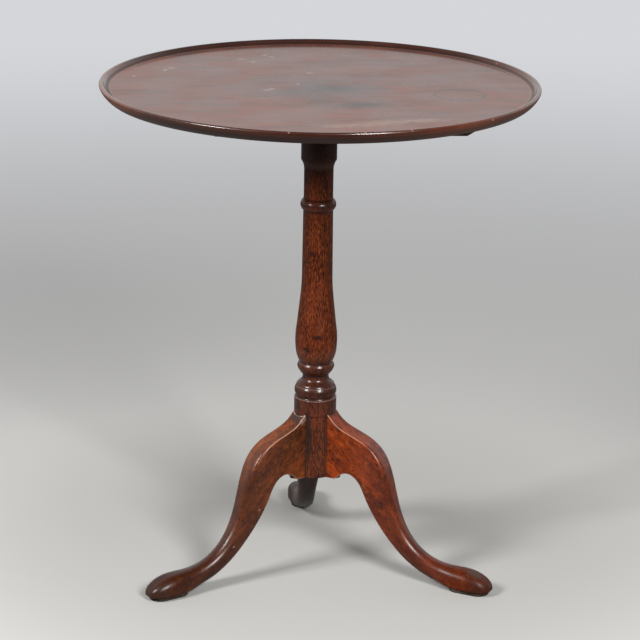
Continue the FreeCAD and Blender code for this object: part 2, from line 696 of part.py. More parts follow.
# Bolt, bevelled under its nose so that it rides over the keeper as the top comes down
bolt_bar = board("bolt_bar", "XZ_Plane", [
    (BOLT_BACK, BOLT_FOOT),
    (f"{BOLT_NOSE} - bolt_bevel", BOLT_FOOT),
    (BOLT_NOSE, f"{BOLT_FOOT} + bolt_depth / 2"),
    (BOLT_NOSE, BOLT_TOP),
    (BOLT_BACK, BOLT_TOP),
], "bolt_width", midplane=True)
KNOB_NECK_FOOT = f"({CASE_FOOT} - knob_neck_length)"
KNOB_EDGE = f"({KNOB_NECK_FOOT} - knob_flare)"
catch_knob = turned("catch_knob", [
    ("0", f"{BOLT_FOOT} + knob_stem_root"),
    ("knob_stem_radius", f"{BOLT_FOOT} + knob_stem_root"),
    ("knob_stem_radius", KNOB_NECK_FOOT),
    ("knob_radius", KNOB_EDGE),
    ("0", f"{KNOB_EDGE} - knob_radius", f"knob_radius * {DIAGONAL}", f"{KNOB_EDGE} - knob_radius * {DIAGONAL}"),
])
bind(catch_knob, x=KNOB_PLACE)
stem = rod("knob_stem", "knob_stem_radius", "knob_stem_root", (KNOB_PLACE, "0", BOLT_FOOT))
catch_bolt = cut("catch_bolt", bolt_bar, [stem])

# Spring: a flat strip bent to a V between the case's back and the bolt
SPRING_TIP = f"({BOLT_BACK} - bolt_clearance)"
SPRING_HALF = "(bolt_width / 2 - bolt_clearance)"
catch_spring = board("catch_spring", "XY_Plane", [
    (CASE_CHANNEL_END, f"-{SPRING_HALF}"),
    (SPRING_TIP, "-spring_strip / 2"),
    (SPRING_TIP, "spring_strip / 2"),
    (CASE_CHANNEL_END, SPRING_HALF),
    (CASE_CHANNEL_END, f"{SPRING_HALF} - spring_strip"),
    (f"{SPRING_TIP} - spring_fold", "0"),
    (CASE_CHANNEL_END, f"-{SPRING_HALF} + spring_strip"),
], "spring_depth", f"{BOLT_FOOT} + (bolt_depth - spring_depth) / 2")

# Check every object, then write each piece to its own file
pieces = {
    "tray_top": tray_top,
    "bearer_front": bearers["front"],
    "bearer_back": bearers["back"],
    "bearer_screws": bearer_screws,
    "tilt_block": tilt_block,
    "pivot_pins": pivot_pins,
    "pillar": pillar,
    "tenon_wedge": tenon_wedge,
    "brace_plate": brace_plate,
    "brace_screws": brace_screws,
    "keeper_plate": keeper_plate,
    "keeper_screws": keeper_screws,
    "catch_case": catch_case,
    "catch_bolt": catch_bolt,
    "catch_knob": catch_knob,
    "catch_spring": catch_spring,
    "catch_screws": catch_screws,
}
for leg_name in LEG_TURNS:
    pieces[f"leg_{leg_name}"] = legs[leg_name]
    pieces[f"sole_{leg_name}"] = soles[leg_name]
for label, piece in pieces.items():
    piece.Label = label
doc.recompute()
for thing in doc.Objects:
    if "Invalid" in thing.State or "Error" in thing.State:
        raise RuntimeError(f"{thing.Name} failed: {thing.State}")
for label, piece in pieces.items():
    if piece.Shape.isNull() or not piece.Shape.isValid():
        raise RuntimeError(f"{label} has no valid shape")
os.makedirs("parts", exist_ok=True)
for label, piece in pieces.items():
    piece.Shape.exportStep(f"parts/{label}.step")
    corners = piece.Shape.BoundBox
    print(f"{label}: {len(piece.Shape.Solids)} solids, {piece.Shape.Volume / 1000:.2f} cm3,",
          f"z {corners.ZMin:.2f} to {corners.ZMax:.2f}")
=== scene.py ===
import math

import bpy
from mathutils import Matrix, Vector


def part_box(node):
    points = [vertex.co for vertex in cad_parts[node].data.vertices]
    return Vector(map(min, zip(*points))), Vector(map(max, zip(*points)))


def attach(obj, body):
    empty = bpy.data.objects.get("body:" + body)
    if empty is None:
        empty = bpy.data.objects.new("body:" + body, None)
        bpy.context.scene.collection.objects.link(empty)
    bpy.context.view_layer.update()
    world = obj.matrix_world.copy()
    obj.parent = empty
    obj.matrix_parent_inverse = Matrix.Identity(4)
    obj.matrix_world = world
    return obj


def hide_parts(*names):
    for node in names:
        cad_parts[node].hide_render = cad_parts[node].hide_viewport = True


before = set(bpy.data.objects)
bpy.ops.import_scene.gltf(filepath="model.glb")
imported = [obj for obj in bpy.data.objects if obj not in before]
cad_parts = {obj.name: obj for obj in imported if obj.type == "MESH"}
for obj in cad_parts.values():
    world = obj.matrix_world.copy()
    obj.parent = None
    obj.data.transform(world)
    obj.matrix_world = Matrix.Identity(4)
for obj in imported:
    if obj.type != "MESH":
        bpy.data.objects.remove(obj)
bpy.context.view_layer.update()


# Pillar: one length of mahogany turned between centres, with collar, bead, vase, ring, torus and drum, and
# slotted at its foot for the legs. Red-brown and finely flecked under shellac polish, dark with old wax in
# the grooves and rubbed pale on its arrises, with a painted highlight along them. Painted shade of the top
# darkens the neck, collar and bead, and painted shade lies in the seat's joints with the front legs.
def linear(hex_colour):
    """An sRGB hex value as the linear colour that a socket takes."""
    channels = [int(hex_colour[i:i + 2], 16) / 255 for i in (1, 3, 5)]
    return [c / 12.92 if c <= 0.04045 else ((c + 0.055) / 1.055) ** 2.4 for c in channels] + [1.0]


def plug(tree, node, inputs):
    """Give each named socket of a node its value or its link."""
    for socket, value in inputs.items():
        if isinstance(value, bpy.types.NodeSocket):
            tree.links.new(value, node.inputs[socket])
        else:
            node.inputs[socket].default_value = value


def add(tree, kind, inputs=None, **settings):
    """One node with its settings, its sockets given a value or a link."""
    node = tree.nodes.new("ShaderNode" + kind)
    for name, value in settings.items():
        setattr(node, name, value)
    plug(tree, node, inputs or {})
    return node


def surface(name, colour):
    """A new material with its node tree, its place on the object and its first colour."""
    material = bpy.data.materials.new(name)
    material.use_nodes = True
    place = add(material.node_tree, "TexCoord").outputs["Object"]
    return {"material": material, "tree": material.node_tree, "place": place, "colour": linear(colour)}


def stain(finish, share, colour, blend="MIX"):
    """Lay a colour, given as a hex value or a socket, over a surface where a share says."""
    over = linear(colour) if isinstance(colour, str) else colour
    mix = add(finish["tree"], "Mix", {0: share, 6: finish["colour"], 7: over},
              data_type="RGBA", blend_type=blend)
    finish["colour"] = mix.outputs[2]


def fade(tree, measure, low, high, start=0.0, end=1.0, within=None):
    """A share that goes smoothly from start to end as a measure goes from low to high.

    Where another share is given, it stays within that.
    """
    inputs = {"Value": measure, "From Min": low, "From Max": high, "To Min": start, "To Max": end}
    share = add(tree, "MapRange", inputs, interpolation_type="SMOOTHSTEP").outputs[0]
    if within is None:
        return share
    return add(tree, "Math", {0: share, 1: within}, operation="MULTIPLY").outputs[0]


def band(tree, measure, middle, spread, share):
    """A share at a middle measure that falls to nothing a spread away on either side, both in millimetres."""
    away = add(tree, "Math", {0: measure, 1: middle / 1000}, operation="SUBTRACT").outputs[0]
    away = add(tree, "Math", {0: away}, operation="ABSOLUTE").outputs[0]
    return fade(tree, away, 0.0, spread / 1000, share, 0.0)


def per_metre(millimetres):
    """How often a pattern of this size repeats in a metre."""
    return 1000 / millimetres


def spot(tree, place, centre, size, share, ragged, core, turn=0.0, grit=1.7):
    """A blotch with a ragged edge, its centre and half sizes in millimetres, turned about the upright.

    Its full share reaches out to the core, a part of the half size, and grit says how finely its edge
    is broken.
    """
    near = add(tree, "Mapping", {"Vector": place, "Location": [c / 1000 for c in centre],
                                 "Rotation": (0, 0, math.radians(turn)), "Scale": [s / 1000 for s in size]},
               vector_type="TEXTURE").outputs[0]
    away = add(tree, "VectorMath", {0: near}, operation="LENGTH").outputs["Value"]
    rough = add(tree, "TexNoise", {"Vector": near, "Scale": grit, "Detail": 4}).outputs[0]
    away = add(tree, "Math", {0: rough, 1: 2 * ragged, 2: away}, operation="MULTIPLY_ADD").outputs[0]
    return fade(tree, away, core + ragged, 1.0 + ragged, share, 0.0)


# how far a pattern is drawn out along the grain
FIGURE_STRETCH = 14
PORE_STRETCH = 4.5


def hardwood(name, dark, light, turn, figure=0.2, pore_share=0.7, fleck_share=0.25):
    """Open-grained hardwood: clouded patina, weak ribbon figure, fine streaks, dark pores and light flecks.

    The grain runs along X until it is turned.
    """
    wood = surface(name, dark)
    tree = wood["tree"]
    place = wood["place"]
    long_grain = add(tree, "Mapping", {"Vector": place, "Rotation": turn, "Scale": (FIGURE_STRETCH, 1, 1)},
                     vector_type="TEXTURE").outputs[0]
    short_grain = add(tree, "Mapping", {"Vector": place, "Rotation": turn, "Scale": (PORE_STRETCH, 1, 1)},
                      vector_type="TEXTURE").outputs[0]
    clouds = add(tree, "TexNoise", {"Vector": place, "Scale": per_metre(70), "Detail": 4}).outputs[0]
    ribbon = add(tree, "TexNoise", {"Vector": long_grain, "Scale": per_metre(13), "Detail": 3,
                                    "Distortion": 0.4}).outputs[0]
    streak = add(tree, "TexNoise", {"Vector": long_grain, "Scale": per_metre(2.6), "Detail": 2}).outputs[0]
    # real pores are 0.2 mm wide and are drawn about 0.7 x 3 mm, so that they show
    fleck = add(tree, "TexNoise", {"Vector": short_grain, "Scale": per_metre(1.4), "Detail": 1.5}).outputs[0]
    stain(wood, fade(tree, clouds, 0.32, 0.68), light)
    stain(wood, 1.0, fade(tree, ribbon, 0.3, 0.7, 1 - figure, 1 + figure), "MULTIPLY")
    stain(wood, 1.0, fade(tree, streak, 0.3, 0.7, 1 - figure / 2, 1 + figure / 2), "MULTIPLY")
    stain(wood, fade(tree, fleck, 0.44, 0.34, 0.0, fleck_share), "#8f4d24")
    pores = fade(tree, fleck, 0.58, 0.64, 0.0, pore_share)
    stain(wood, pores, "#1a0b06")
    wood.update(clouds=clouds, streak=streak, pores=pores)
    return wood


def polished(wood, roughness, coat, coat_roughness, specular=0.15, depth=0.1):
    """The wood under a film of polish that keeps a little of its pores; its gloss varies with the patina."""
    tree = wood["tree"]
    gloss = fade(tree, wood["clouds"], 0.3, 0.7, roughness - 0.07, roughness + 0.07)
    height = add(tree, "Math", {0: wood["streak"], 1: wood["pores"]}, operation="SUBTRACT").outputs[0]
    bump = add(tree, "Bump", {"Height": height, "Strength": 0.4, "Distance": depth / 1000}).outputs[0]
    plug(tree, tree.nodes["Principled BSDF"], {
        "Base Color": wood["colour"], "Roughness": gloss, "Normal": bump, "IOR": 1.5,
        "Specular IOR Level": specular, "Coat Weight": coat, "Coat Roughness": coat_roughness})
    return wood["material"]


def copy_of(node, name):
    """A merged copy of a solid's mesh as a new object, active and alone in the selection."""
    bpy.ops.object.select_all(action="DESELECT")
    piece = bpy.data.objects.new(name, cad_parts[node].data.copy())
    bpy.context.scene.collection.objects.link(piece)
    bpy.context.view_layer.objects.active = piece
    piece.select_set(True)
    bpy.ops.mesh.customdata_custom_splitnormals_clear()
    bpy.ops.object.mode_set(mode="EDIT")
    bpy.ops.mesh.select_all(action="SELECT")
    bpy.ops.mesh.remove_doubles(threshold=0.000002)
    bpy.ops.object.mode_set(mode="OBJECT")
    return piece


ARRIS_ANGLE = 32


def dress(piece, node, material, body, angle=ARRIS_ANGLE):
    """Shade a piece, give it its finish and let it stand for a solid."""
    bpy.ops.object.shade_smooth_by_angle(angle=math.radians(angle))
    piece.data.materials.clear()
    piece.data.materials.append(material)
    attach(piece, body)
    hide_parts(node)


UPRIGHT = (0.0, math.radians(-90), 0.0)
pillar_wood = hardwood("shellacked_mahogany_pillar", "#401909", "#622810", UPRIGHT, figure=0.4,
                       pore_share=0.9, fleck_share=0.5)
tree = pillar_wood["tree"]
place = pillar_wood["place"]
height = add(tree, "SeparateXYZ", {0: place}).outputs[2]
# grooves dark with wax, and arrises rubbed pale with a painted highlight along them: height and spread in
# millimetres
DIRTY_GROOVES = ((257.8, 2.2), (289.5, 3.5), (309.2, 2.6), (533.0, 2.2), (549.7, 2.2))
PILLAR_ARRIS_WEAR_AND_HIGHLIGHT = ((256.1, 1.2), (273.2, 0.9))
for middle, spread in DIRTY_GROOVES:
    stain(pillar_wood, band(tree, height, middle, spread, share=0.8), "#120705")
for middle, spread in PILLAR_ARRIS_WEAR_AND_HIGHLIGHT:
    stain(pillar_wood, band(tree, height, middle, spread, share=0.6), "#c39a84")
KNOTS = ((-8.0, -19.7, 471.7), (1.6, -29.2, 351.8), (-16.2, -23.9, 332.0))
KNOT_SIZE = (10, 10, 5.5)
for centre in KNOTS:
    knot = spot(tree, place, centre, KNOT_SIZE, share=0.85, ragged=1.1, core=0.15, grit=2.4)
    stain(pillar_wood, knot, "#140a07")
# painted shade of the top, darker from the neck up to the collar, in metres
TOP_SHADE_HEIGHTS = (0.545, 0.6)
stain(pillar_wood, fade(tree, height, *TOP_SHADE_HEIGHTS, 0.0, 0.55), "#1c0f0a")
# old wax on the collar and the mouldings down to the drum, and painted shade of the top on the bead: height,
# spread, share and colour
WAX_AND_BEAD_SHADE = ((599, 7, 0.5, "#55443c"), (268, 58, 0.62, "#2a1714"), (543, 10, 0.55, "#1c0f0a"))
for middle, spread, share, colour in WAX_AND_BEAD_SHADE:
    stain(pillar_wood, band(tree, height, middle, spread, share), colour)
# painted shade where the seat between the front legs meets them: middle and half sizes
SEAT_JOINT_SHADE = (((-12, -27, 195), (6, 9, 50)), ((13.5, -26, 195), (2.6, 9, 50)))
for centre, size in SEAT_JOINT_SHADE:
    stain(pillar_wood, spot(tree, place, centre, size, share=0.7, ragged=0.3, core=0.6), "#1f140f")
# the polish is whole up to the ring and on the bead, and worn thin on the vase and shaft
WORN_ABOVE = (0.327, 0.335)
BEAD_MIDDLE = 541.6
BEAD_SPREAD = 12
bead_gloss = band(tree, height, BEAD_MIDDLE, BEAD_SPREAD, share=0.45)
pillar_gloss = add(tree, "Math", {0: fade(tree, height, *WORN_ABOVE, 0.7, 0.2), 1: bead_gloss}).outputs[0]
pillar = copy_of("pillar", "pillar_turned")
# the sharp rings of the drum and torus, as radius and height in millimetres, are rubbed round
SHARP_RINGS = ((30.4, 256.3), (27.9, 273.2), (30.4, 233.0))
RING_TOLERANCE = 0.00005
RUBBED_ROUND = 0.0007
bpy.ops.object.mode_set(mode="EDIT")
bpy.ops.mesh.select_all(action="DESELECT")
bpy.ops.object.mode_set(mode="OBJECT")
for edge in pillar.data.edges:
    ends = [pillar.data.vertices[index].co for index in edge.vertices]
    for radius, level in SHARP_RINGS:
        misses = [max(abs(end.z - level / 1000), abs(end.xy.length - radius / 1000)) for end in ends]
        if max(misses) < RING_TOLERANCE:
            edge.select = True
bpy.ops.object.mode_set(mode="EDIT")
bpy.ops.mesh.bevel(offset=RUBBED_ROUND, segments=3, affect="EDGES")
bpy.ops.object.mode_set(mode="OBJECT")
pillar_finish = polished(pillar_wood, roughness=0.42, coat=pillar_gloss, coat_roughness=0.2)
dress(pillar, "pillar", pillar_finish, "base")


# Legs: three cabriole legs sawn from mahogany plank and carved round, each slid up into the pillar's foot
# on a dovetail. Blotched and flecked under a glossy polish, each given its own colours, the back leg's
# painted dark as shade, with the grain down the leg and the toes dark and worn from shoes and brooms.
LEGS = {
    # turn about the pillar, dark and light wood, light patches, and gloss of the foot
    # the back leg's colours are painted dark as the shade it stands in under the top
    "leg_back": (90, "#2c1a12", "#3f271b", "#4d3325", 0.25),
    "leg_left": (210, "#4e210a", "#7b3a14", "#9a592c", 0.55),
    "leg_right": (330, "#692103", "#963808", "#b8591f", 0.13),
}
LEG_MARKS = {
    # middle and half sizes in millimetres, share, raggedness, core and colour
    "leg_back": (),
    "leg_left": (((-120, -85, 57), (2.6, 2.6, 2), 0.55, 1.2, 0.1, "#b79a88"),
                 ((-83, -67, 106), (2.6, 2.6, 2), 0.55, 1.2, 0.1, "#b79a88"),
                 ((-29, -17, 228), (14, 14, 8), 0.8, 0.3, 0.5, "#332b27"),
                 ((-21, -29, 226), (5, 4, 6), 0.6, 1.0, 0.2, "#a99d95")),
    "leg_right": (((91, -71, 114), (5, 5, 6), 0.7, 0.8, 0.5, "#1c0e08"),
                  ((222, -128, 28), (16, 14, 7), 0.6, 0.9, 0.5, "#4b4138")),
}
LEG_SLOPE = 42
# reaches from the pillar's axis, in metres, over which a finish fades in or out
DARK_SHIN = (0.085, 0.15)
DARK_TOE = (0.24, 0.275)
# the arrises rubbed pale, with a painted highlight along them, fade out past the knee
LEG_ARRIS_WEAR_AND_HIGHLIGHT = (0.115, 0.085)
# painted shade in the joint with the pillar
JOINT_SHADE = (0.033, 0.0285)
ROOT_POLISH = (0.055, 0.09)
FOOT_POLISH = (0.195, 0.235)
# and between which the arrises are scraped away
KNEE_REACH = 0.085
SHIN_REACH = 0.125
FOOT_REACH = 0.215
TOE_REACH = 0.255
OPENED_JOINT = 31.2
OPENED_ABOVE = (0.224, 0.228)
LEG_VOXEL = 0.0009
SCRAPING_PASSES = 6
ROUNDING_PASSES = 90
for leg, (turn, dark, light, patch, foot_gloss) in LEGS.items():
    down_the_leg = (0.0, math.radians(LEG_SLOPE), math.radians(turn))
    leg_wood = hardwood("shellacked_mahogany_" + leg, dark, light, down_the_leg, figure=0.34,
                        pore_share=0.85, fleck_share=0.45)
    tree = leg_wood["tree"]
    place = leg_wood["place"]
    # uneven polish in small patches
    blotch = add(tree, "TexNoise", {"Vector": place, "Scale": per_metre(9), "Detail": 4}).outputs[0]
    stain(leg_wood, fade(tree, blotch, 0.48, 0.72, 0.0, 0.28), "#2a130a")
    stain(leg_wood, fade(tree, blotch, 0.48, 0.3, 0.0, 0.3), patch)
    flat_place = add(tree, "VectorMath", {0: place, 1: (1, 1, 0)}, operation="MULTIPLY").outputs[0]
    reach = add(tree, "VectorMath", {0: flat_place}, operation="LENGTH").outputs["Value"]
    # dark down the shin and darker on the toe, arrises rubbed pale with a painted highlight along them, and
    # painted shade in the joint with the pillar
    stain(leg_wood, fade(tree, reach, *DARK_SHIN, 0.0, 0.6), "#2c1006")
    stain(leg_wood, fade(tree, reach, *DARK_TOE, 0.0, 0.5), "#2f221c")
    sharp = add(tree, "NewGeometry").outputs["Pointiness"]
    above_knee = fade(tree, reach, *LEG_ARRIS_WEAR_AND_HIGHLIGHT, 0.0, 0.75)
    stain(leg_wood, fade(tree, sharp, 0.512, 0.535, within=above_knee), "#c69a7c")
    stain(leg_wood, fade(tree, reach, *JOINT_SHADE, 0.0, 0.8), "#160b07")
    if leg == "leg_left":
        # a pale line where the joint with the pillar has opened
        height = add(tree, "SeparateXYZ", {0: place}).outputs[2]
        opened = band(tree, reach, OPENED_JOINT, spread=1.0, share=0.75)
        stain(leg_wood, fade(tree, height, *OPENED_ABOVE, within=opened), "#c2b2a8")
    for centre, size, share, ragged, core, colour in LEG_MARKS[leg]:
        stain(leg_wood, spot(tree, place, centre, size, share, ragged=ragged, core=core), colour)
    # the polish is thin at the root, thick down the leg and worn on the foot
    below_root = fade(tree, reach, *ROOT_POLISH, 0.45, 1.0)
    leg_gloss = fade(tree, reach, *FOOT_POLISH, 0.9, foot_gloss, within=below_root)
    piece = copy_of(leg, leg + "_carved")
    piece.data.remesh_voxel_size = LEG_VOXEL
    bpy.ops.object.voxel_remesh()
    scraping = piece.modifiers.new("scraping", "SMOOTH")
    scraping.factor = 0.5
    scraping.iterations = SCRAPING_PASSES
    bpy.ops.object.modifier_apply(modifier="scraping")
    # below the knee the arrises are scraped away
    lower_leg = piece.vertex_groups.new(name="lower_leg")
    for vertex in piece.data.vertices:
        below_knee = (vertex.co.xy.length - KNEE_REACH) / (SHIN_REACH - KNEE_REACH)
        above_toe = (TOE_REACH - vertex.co.xy.length) / (TOE_REACH - FOOT_REACH)
        lower_leg.add([vertex.index], max(min(below_knee, above_toe, 1.0), 0.0), "REPLACE")
    rounding = piece.modifiers.new("rounding", "SMOOTH")
    rounding.factor = 0.5
    rounding.iterations = ROUNDING_PASSES
    rounding.vertex_group = "lower_leg"
    bpy.ops.object.modifier_apply(modifier="rounding")
    leg_finish = polished(leg_wood, roughness=0.4, coat=leg_gloss, coat_roughness=0.3)
    dress(piece, leg, leg_finish, "base", angle=60.0)


# Soles: thin pads of dark hardwood under the feet, glued on level with the floor and rounded at both ends.
# Unpolished, dull and nearly black with dirt.
def ease(piece, edge):
    """Join a solid's flat triangles and round its arrises by edge millimetres."""
    bpy.ops.object.mode_set(mode="EDIT")
    bpy.ops.mesh.select_all(action="SELECT")
    bpy.ops.mesh.dissolve_limited(angle_limit=math.radians(1))
    bpy.ops.object.mode_set(mode="OBJECT")
    easing = piece.modifiers.new("easing", "BEVEL")
    easing.width = edge / 1000
    easing.segments = 2
    easing.limit_method = "ANGLE"
    easing.angle_limit = math.radians(ARRIS_ANGLE)
    bpy.ops.object.modifier_apply(modifier="easing")


ALONG_X = (0.0, 0.0, 0.0)
sole_wood = hardwood("dirty_hardwood_sole", "#29231f", "#574c43", ALONG_X, fleck_share=0.1)
sole_finish = polished(sole_wood, roughness=0.7, coat=0.0, coat_roughness=0.5)
for side in ("back", "left", "right"):
    pad = copy_of("sole_" + side, "sole_" + side + "_pad")
    ease(pad, edge=0.8)
    dress(pad, "sole_" + side, sole_finish, "base")


# Brace: a three-armed plate cut from sheet iron and screwed up under the pillar and legs.
# Forge-black and dull with brown rust freckles, the steel screws brighter.
def metal(name, colour, worn_colour, roughness, freckle):
    """Bare metal gone dull, with freckles of tarnish or rust of a given size in millimetres."""
    bare_metal = surface(name, colour)
    tree = bare_metal["tree"]
    patch = add(tree, "TexNoise", {"Vector": bare_metal["place"], "Scale": per_metre(freckle),
                                   "Detail": 4}).outputs[0]
    stain(bare_metal, fade(tree, patch, 0.42, 0.68), worn_colour)
    gloss = fade(tree, patch, 0.3, 0.7, roughness, roughness + 0.25)
    bump = add(tree, "Bump", {"Height": patch, "Strength": 0.3, "Distance": 0.0002}).outputs[0]
    plug(tree, tree.nodes["Principled BSDF"], {
        "Base Color": bare_metal["colour"], "Roughness": gloss, "Normal": bump, "Metallic": 1.0})
    return bare_metal["material"]


iron = metal("black_sheet_iron", "#4a4744", "#4b2f20", roughness=0.45, freckle=7)
steel = metal("old_screw_steel", "#8f8a83", "#5a4638", roughness=0.35, freckle=2)
plate = copy_of("brace_plate", "brace_plate_sheet")
ease(plate, edge=0.3)
dress(plate, "brace_plate", iron, "base")
dress(copy_of("brace_screws", "brace_screws_set"), "brace_screws", steel, "base")


# Tilt block: a block of beech wedged onto the pillar's tenon, with two turned pins on which the bearers
# swing. Plain straight-grained wood, waxed by handling. The keeper plate screwed to its edge is brass,
# yellow where it is rubbed and brown where it has tarnished.
ALONG_Y = (0.0, 0.0, math.radians(90))
block_wood = hardwood("waxed_beech_block", "#4d3320", "#8a643f", ALONG_Y, pore_share=0.3)
block_finish = polished(block_wood, roughness=0.55, coat=0.1, coat_roughness=0.3)
brass = metal("tarnished_brass", "#b08a45", "#6b4f28", roughness=0.3, freckle=5)
for node, edge in (("tilt_block", 0.8), ("tenon_wedge", 0.3)):
    piece = copy_of(node, node + "_beech")
    ease(piece, edge)
    dress(piece, node, block_finish, "base")
dress(copy_of("pivot_pins", "pivot_pins_turned"), "pivot_pins", block_finish, "base")
keeper = copy_of("keeper_plate", "keeper_plate_brass")
ease(keeper, edge=0.3)
dress(keeper, "keeper_plate", brass, "base")
dress(copy_of("keeper_screws", "keeper_screws_set"), "keeper_screws", brass, "base")


# Tray: one wide mahogany board turned on a faceplate, leaving a moulded rim round a flat field. Old polish,
# greyed and clouded by use, with scuffs, ring marks and a dark patch; the rim is glossy on its crest, painted
# dark as shade on its lip and face along the front, dark with wax at the back, and knocked.
def arc(start, through, end, steps):
    """Points of the circular arc from start through a point to end, without its start."""
    (ax, ay), (bx, by), (cx, cy) = start, through, end
    twice_area = 2 * (ax * (by - cy) + bx * (cy - ay) + cx * (ay - by))
    a2, b2, c2 = ax * ax + ay * ay, bx * bx + by * by, cx * cx + cy * cy
    middle = Vector(((a2 * (by - cy) + b2 * (cy - ay) + c2 * (ay - by)) / twice_area,
                     (a2 * (cx - bx) + b2 * (ax - cx) + c2 * (bx - ax)) / twice_area))
    spoke, midway, last = [Vector(point) - middle for point in (start, through, end)]
    turn = spoke.angle_signed(midway) + midway.angle_signed(last)
    return [middle + Matrix.Rotation(-turn * step / steps, 2) @ spoke for step in range(1, steps + 1)]


# sizes in millimetres: the outermost edge, the rim's crest, the underside, and the flat field
tray_low, tray_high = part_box("tray_top")
EDGE = 1000 * tray_high.x
CREST = 1000 * tray_high.z
UNDERSIDE = 1000 * tray_low.z
FIELD = UNDERSIDE + 10.5
FIELD_EDGE = EDGE - 15.5
# the rim's section, as reach and height, from the foot of its face over lip and crest down the cove
foot = (EDGE - 11.5, UNDERSIDE)
face_belly = (EDGE - 4.3, UNDERSIDE + 6.8)
lip = (EDGE, CREST - 2.4)
crest_top = (EDGE - 3.9, CREST)
crest_end = (EDGE - 6.4, CREST - 0.8)
cove_hollow = (EDGE - 10.5, FIELD + 1.6)
field_edge = (FIELD_EDGE, FIELD)
ARC_STEPS = 10
LIP_STEPS = 6
face = arc(foot, face_belly, lip, ARC_STEPS)
crest = arc(lip, crest_top, crest_end, ARC_STEPS)
# the lip between face and crest is rubbed round: its arc lies a little inside the sharp corner
LIP_ROUND = 0.54
below_lip, above_lip = face[-2], crest[1]
rubbed_lip = Vector(lip).lerp((below_lip + above_lip) / 2, LIP_ROUND)
section = [Vector(foot)] + face[:-1] + arc(below_lip, rubbed_lip, above_lip, LIP_STEPS) + crest[2:]
section += arc(crest_end, cove_hollow, field_edge, ARC_STEPS)
FIELD_RINGS = (0.6, 90, 180)
section += [Vector((FIELD_EDGE - inset, FIELD)) for inset in FIELD_RINGS]
RIM_SEGMENTS = 288
bpy.ops.object.select_all(action="DESELECT")
bpy.ops.mesh.primitive_circle_add(vertices=RIM_SEGMENTS, radius=section[0].x / 1000,
                                  location=(0, 0, section[0].y / 1000))
tray = bpy.context.active_object
tray.name = "tray_top_dished"
bpy.ops.object.transform_apply(location=True, rotation=True, scale=True)
bpy.ops.object.mode_set(mode="EDIT")
bpy.ops.mesh.select_all(action="SELECT")
bpy.ops.mesh.edge_face_add()
bpy.ops.mesh.select_all(action="SELECT")
bpy.ops.mesh.select_mode(type="EDGE")
for last, corner in zip(section, section[1:]):
    shrink = corner.x / last.x
    bpy.ops.mesh.extrude_edges_move(TRANSFORM_OT_translate={"value": (0, 0, (corner.y - last.y) / 1000)})
    bpy.ops.transform.resize(value=(shrink, shrink, 1), center_override=(0, 0, corner.y / 1000))
bpy.ops.mesh.edge_face_add()
bpy.ops.mesh.select_all(action="SELECT")
bpy.ops.mesh.normals_make_consistent(inside=False)
bpy.ops.object.mode_set(mode="OBJECT")

tray_wood = hardwood("shellacked_mahogany_tray", "#6e3120", "#87442b", ALONG_X, figure=0.08,
                     pore_share=0.08, fleck_share=0.0)
tree = tray_wood["tree"]
place = tray_wood["place"]
to_right, to_back, height = add(tree, "SeparateXYZ", {0: place}).outputs
flat_place = add(tree, "VectorMath", {0: place, 1: (1, 1, 0)}, operation="MULTIPLY").outputs[0]
reach = add(tree, "VectorMath", {0: flat_place}, operation="LENGTH").outputs["Value"]
# long soft streaks and thin dark hairs, drawn out along the grain
HAZE_STRETCH = 3.5
HAIR_STRETCH = 12
streaked = add(tree, "Mapping", {"Vector": place, "Scale": (HAZE_STRETCH, 1, 1)},
               vector_type="TEXTURE").outputs[0]
haze = add(tree, "TexNoise", {"Vector": streaked, "Scale": per_metre(30), "Detail": 4,
                              "Distortion": 0.6}).outputs[0]
drawn_out = add(tree, "Mapping", {"Vector": place, "Scale": (HAIR_STRETCH, 1, 1)},
                vector_type="TEXTURE").outputs[0]
hairs = add(tree, "TexNoise", {"Vector": drawn_out, "Scale": per_metre(6), "Detail": 3,
                               "Distortion": 0.5}).outputs[0]
stain(tray_wood, fade(tree, haze, 0.46, 0.7, 0.0, 0.4), "#3a2623")
stain(tray_wood, fade(tree, haze, 0.46, 0.28, 0.0, 0.3), "#8a5a48")
stain(tray_wood, fade(tree, hairs, 0.56, 0.7, 0.0, 0.5), "#1e1110")
# soft clouds, red where the polish is clear, grey where it has bloomed and dark in the middle:
# middle, half length and half width in millimetres, share and colour
CLOUDS = ((-30, -170, 170, 75, 0.35, "#86402b"), (-200, 0, 130, 170, 0.2, "#6c5750"),
          (10, -25, 120, 95, 0.85, "#262224"), (45, -115, 70, 32, 0.85, "#262224"),
          (-75, 20, 75, 45, 0.35, "#2b2626"), (60, 60, 95, 45, 0.3, "#2b2626"))
CLOUD_DEPTH = 40
for x, y, long, wide, share, colour in CLOUDS:
    cloud = spot(tree, place, (x, y, FIELD), (long, wide, CLOUD_DEPTH), share, ragged=0.9, core=0.0)
    stain(tray_wood, cloud, colour)
# polish worn through to pale wood along the front: middle, half length and half width
PALE_WEAR = ((10, -240, 40, 14), (52, -230, 46, 18), (80, -216, 54, 16), (122, -208, 40, 14))
WEAR_DEPTH = 20
for x, y, long, wide in PALE_WEAR:
    worn = spot(tree, place, (x, y, FIELD), (long, wide, WEAR_DEPTH), share=0.5, ragged=1.3, core=0.0,
                grit=3.0)
    stain(tray_wood, worn, "#a98a74")
